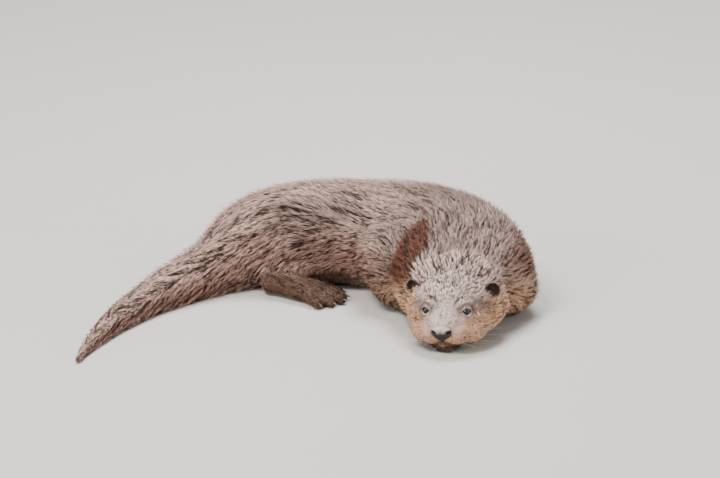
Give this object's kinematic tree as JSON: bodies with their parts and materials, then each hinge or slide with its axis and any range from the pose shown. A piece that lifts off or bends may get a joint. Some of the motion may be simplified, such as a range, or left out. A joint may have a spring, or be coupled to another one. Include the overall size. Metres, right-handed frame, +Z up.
{
  "type": "otter",
  "caption": "Life-size still model of a river otter lying curled on its belly, chin on the floor, looking forward over its nose.",
  "frame": {"origin": "middle of the bounding box's underside, on the floor", "axes": "+Z up, -Y is the way the face looks, -X is the side that the trunk and tail curl round to (the animal's right)"},
  "size_m": [0.554, 0.5072, 0.1269],
  "materials": {
    "fur": "damp brown coat with pale grey guard-hair tips",
    "ear": "short dark fur, darker inside",
    "nose": "bare moist pebbled skin",
    "eye": "wet dark brown",
    "claw": "satin horn"
  },
  "bodies": {
    "root": {"belly": "fur", "chest": "fur", "claw_forepaw_left_1": "claw", "claw_forepaw_left_2": "claw", "claw_forepaw_left_3": "claw", "claw_forepaw_left_4": "claw", "claw_forepaw_left_5": "claw", "claw_forepaw_right_1": "claw", "claw_forepaw_right_2": "claw", "claw_forepaw_right_3": "claw", "claw_forepaw_right_4": "claw", "claw_forepaw_right_5": "claw", "claw_hindfoot_left_1": "claw", "claw_hindfoot_left_2": "claw", "claw_hindfoot_left_3": "claw", "claw_hindfoot_left_4": "claw", "claw_hindfoot_left_5": "claw", "claw_hindfoot_right_1": "claw", "claw_hindfoot_right_2": "claw", "claw_hindfoot_right_3": "claw", "claw_hindfoot_right_4": "claw", "claw_hindfoot_right_5": "claw", "ear_left": "ear", "ear_right": "ear", "eye_left": "eye", "eye_right": "eye", "foreleg_left": "fur", "foreleg_right": "fur", "forepaw_left": "fur", "forepaw_right": "fur", "head": "fur", "hindfoot_left": "fur", "hindfoot_right": "fur", "hindleg_left": "fur", "hindleg_right": "fur", "hips": "fur", "neck": "fur", "nose": "nose", "tail_base": "fur", "tail_middle": "fur", "tail_tip": "fur"}
  },
  "joints": []
}
